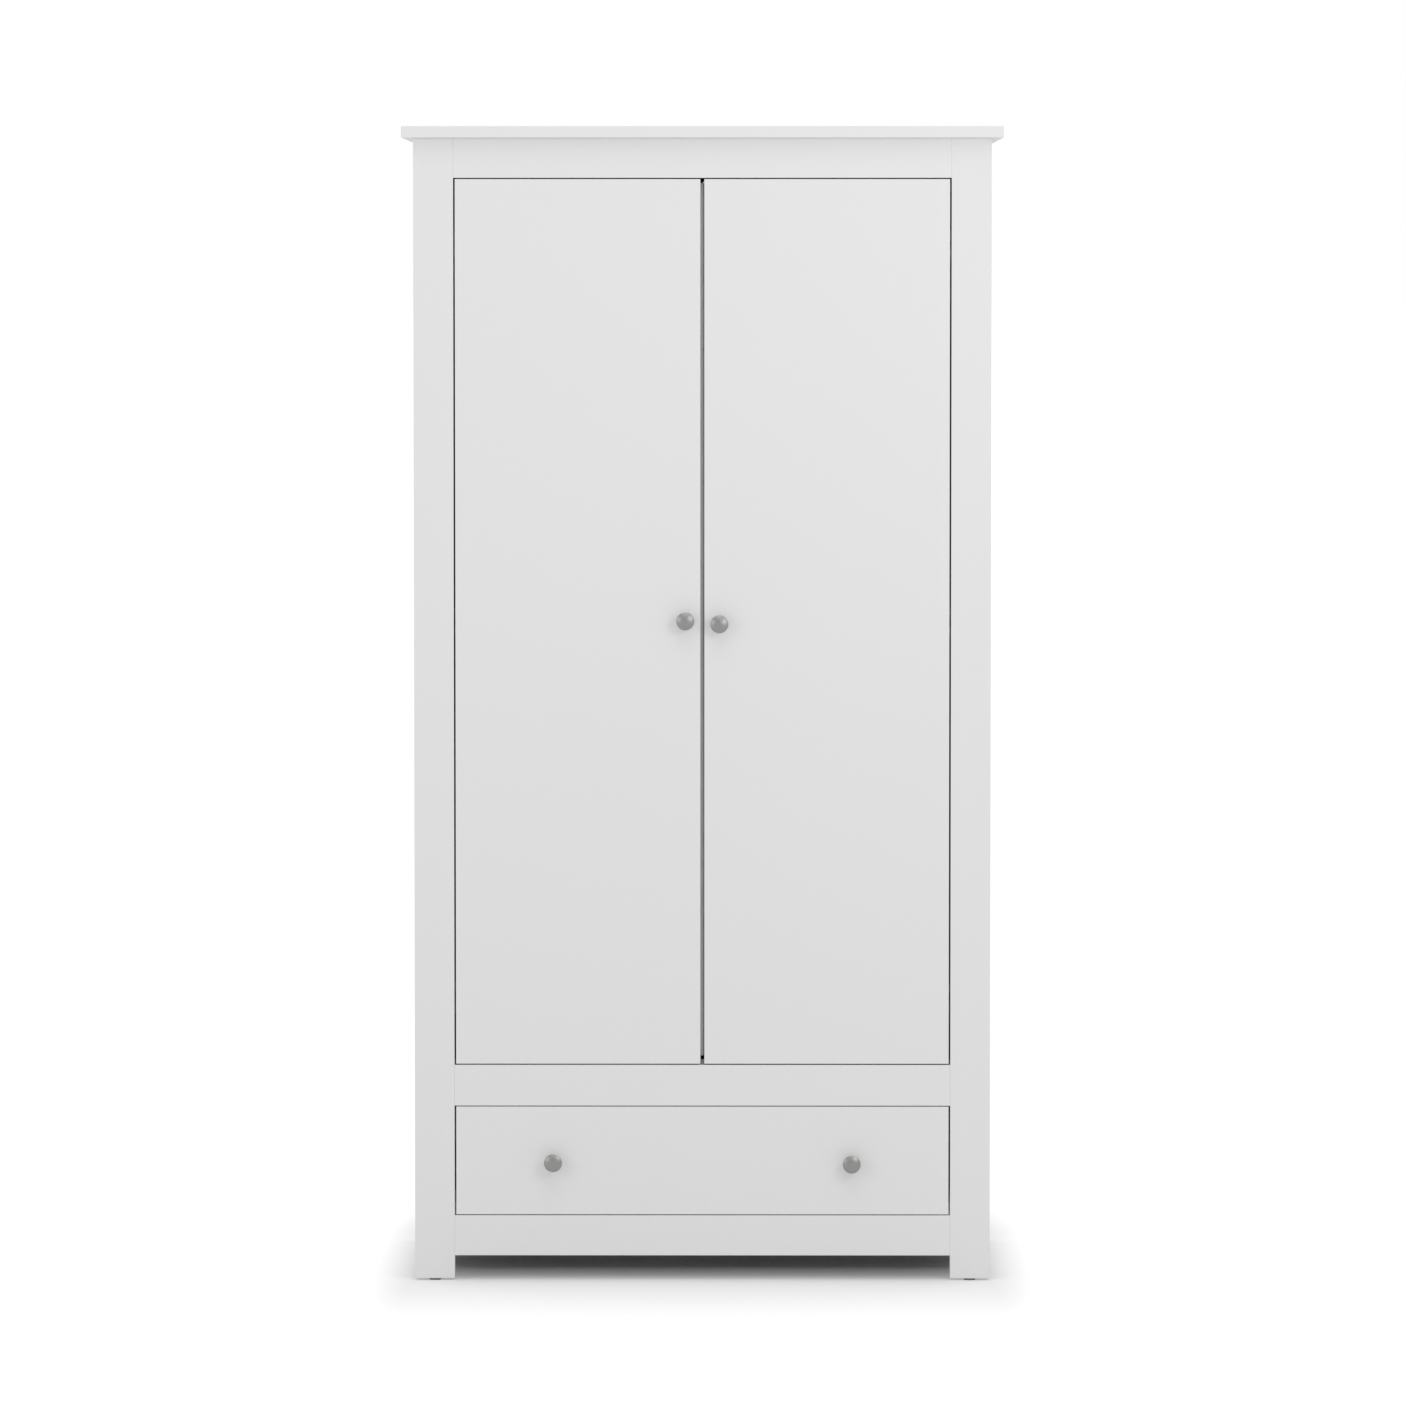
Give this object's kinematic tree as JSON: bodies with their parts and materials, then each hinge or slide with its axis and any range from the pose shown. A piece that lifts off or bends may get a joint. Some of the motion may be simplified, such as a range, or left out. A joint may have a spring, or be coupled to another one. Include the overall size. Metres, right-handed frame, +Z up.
{
  "type": "wardrobe",
  "caption": "Free-standing wardrobe with a pair of plain inset doors over a full-width drawer, face frame, overhanging top, hat shelf and hanging rail.",
  "frame": {"origin": "on the floor, in the middle of the width and of the depth measured over the knobs", "axes": "+Z up, -Y out of the front, +X to the right seen from the front"},
  "size_m": [0.934, 0.545, 1.8],
  "materials": {
    "lacquered_board": "satin white lacquer",
    "inner_board": "white melamine",
    "drawer_wrap": "white paper foil",
    "hardboard": "white-faced hardboard",
    "satin_nickel": "satin nickel plate",
    "plated_steel": "nickel-plated",
    "screw_steel": "zinc-plated",
    "cast_zinc": "as cast",
    "bolt_steel": "zinc-plated",
    "chromed_tube": "polished",
    "socket_zinc": "polished",
    "enamelled_steel": "white epoxy",
    "roller_nylon": "moulded",
    "beech": "fluted beech",
    "white_plastic": "extruded",
    "grey_plastic": "moulded",
    "soft_pad": "clear polyurethane"
  },
  "bodies": {
    "carcass": {"back_joint_strip": "white_plastic", "back_nails": "screw_steel", "back_panel_left": "hardboard", "back_panel_right": "hardboard", "base_board": "inner_board", "bottom_rail": "lacquered_board", "cabinet_runner_left": "enamelled_steel", "cabinet_runner_right": "enamelled_steel", "cam_bolts": "bolt_steel", "cam_locks": "cast_zinc", "carcass_screws": "screw_steel", "door_bumpers": "soft_pad", "dowels": "beech", "foot_glides": "grey_plastic", "front_stile_left": "lacquered_board", "front_stile_right": "lacquered_board", "hanging_rail": "chromed_tube", "hat_shelf": "inner_board", "hinge_arms": "plated_steel", "hinge_batten_left": "inner_board", "hinge_batten_right": "inner_board", "hinge_pins": "plated_steel", "hinge_plates": "plated_steel", "mid_rail": "lacquered_board", "rail_sockets": "socket_zinc", "rear_bottom_rail": "inner_board", "rear_leg_left": "lacquered_board", "rear_leg_right": "lacquered_board", "rear_top_rail": "inner_board", "runner_battens": "inner_board", "shelf_battens": "inner_board", "side_panel_left": "lacquered_board", "side_panel_right": "lacquered_board", "top_panel": "lacquered_board", "top_rail": "lacquered_board"},
    "left_door": {"door_left": "lacquered_board", "knob_door_left": "satin_nickel", "hinge_cups_left": "plated_steel", "door_screws_left": "screw_steel", "door_gap_strip": "lacquered_board"},
    "right_door": {"door_right": "lacquered_board", "knob_door_right": "satin_nickel", "hinge_cups_right": "plated_steel", "door_screws_right": "screw_steel"},
    "drawer": {"drawer_front": "lacquered_board", "drawer_side_left": "drawer_wrap", "drawer_side_right": "drawer_wrap", "drawer_back": "drawer_wrap", "drawer_bottom": "hardboard", "drawer_runner_left": "enamelled_steel", "drawer_runner_right": "enamelled_steel", "knob_drawer_left": "satin_nickel", "knob_drawer_right": "satin_nickel", "drawer_fasteners": "screw_steel"},
    "left_links": {"hinge_links_left": "plated_steel"},
    "right_links": {"hinge_links_right": "plated_steel"},
    "cabinet_roller_l": {"cabinet_roller_left": "roller_nylon"},
    "cabinet_roller_r": {"cabinet_roller_right": "roller_nylon"},
    "drawer_roller_l": {"drawer_roller_left": "roller_nylon"},
    "drawer_roller_r": {"drawer_roller_right": "roller_nylon"}
  },
  "joints": [
    {"name": "left_door_hinge", "type": "hinge", "parent": "carcass", "child": "left_door", "pos_m": [-0.38, -0.24325, 1.029], "axis": [0, 0, -1], "range_deg": [0, 105]},
    {"name": "left_link_turn", "type": "hinge", "parent": "carcass", "child": "left_links", "pos_m": [-0.3835, -0.224, 1.029], "axis": [0, 0, -1], "range_deg": [0, 50.4]},
    {"name": "right_door_hinge", "type": "hinge", "parent": "carcass", "child": "right_door", "pos_m": [0.38, -0.24325, 1.029], "axis": [0, 0, 1], "range_deg": [0, 105]},
    {"name": "right_link_turn", "type": "hinge", "parent": "carcass", "child": "right_links", "pos_m": [0.3835, -0.224, 1.029], "axis": [0, 0, 1], "range_deg": [0, 50.4]},
    {"name": "drawer_slide", "type": "slide", "parent": "carcass", "child": "drawer", "axis": [0, -1, 0], "range_m": [0, 0.33]},
    {"name": "cabinet_roller_l_turn", "type": "hinge", "parent": "carcass", "child": "cabinet_roller_l", "pos_m": [-0.3808, -0.2135, 0.128], "axis": [1, 0, 0], "continuous": true},
    {"name": "cabinet_roller_r_turn", "type": "hinge", "parent": "carcass", "child": "cabinet_roller_r", "pos_m": [0.3808, -0.2135, 0.128], "axis": [1, 0, 0], "continuous": true},
    {"name": "drawer_roller_l_turn", "type": "hinge", "parent": "drawer", "child": "drawer_roller_l", "pos_m": [-0.3808, 0.2065, 0.1275], "axis": [1, 0, 0], "continuous": true},
    {"name": "drawer_roller_r_turn", "type": "hinge", "parent": "drawer", "child": "drawer_roller_r", "pos_m": [0.3808, 0.2065, 0.1275], "axis": [1, 0, 0], "continuous": true}
  ],
  "couplings": [
    {"joint": "left_link_turn", "follows": "left_door_hinge", "ratio": 0.48},
    {"joint": "right_link_turn", "follows": "right_door_hinge", "ratio": 0.48},
    {"joint": "cabinet_roller_l_turn", "follows": "drawer_slide", "rad_per_m": 149.25},
    {"joint": "cabinet_roller_r_turn", "follows": "drawer_slide", "rad_per_m": 149.25},
    {"joint": "drawer_roller_l_turn", "follows": "drawer_slide", "rad_per_m": 149.25},
    {"joint": "drawer_roller_r_turn", "follows": "drawer_slide", "rad_per_m": 149.25}
  ]
}
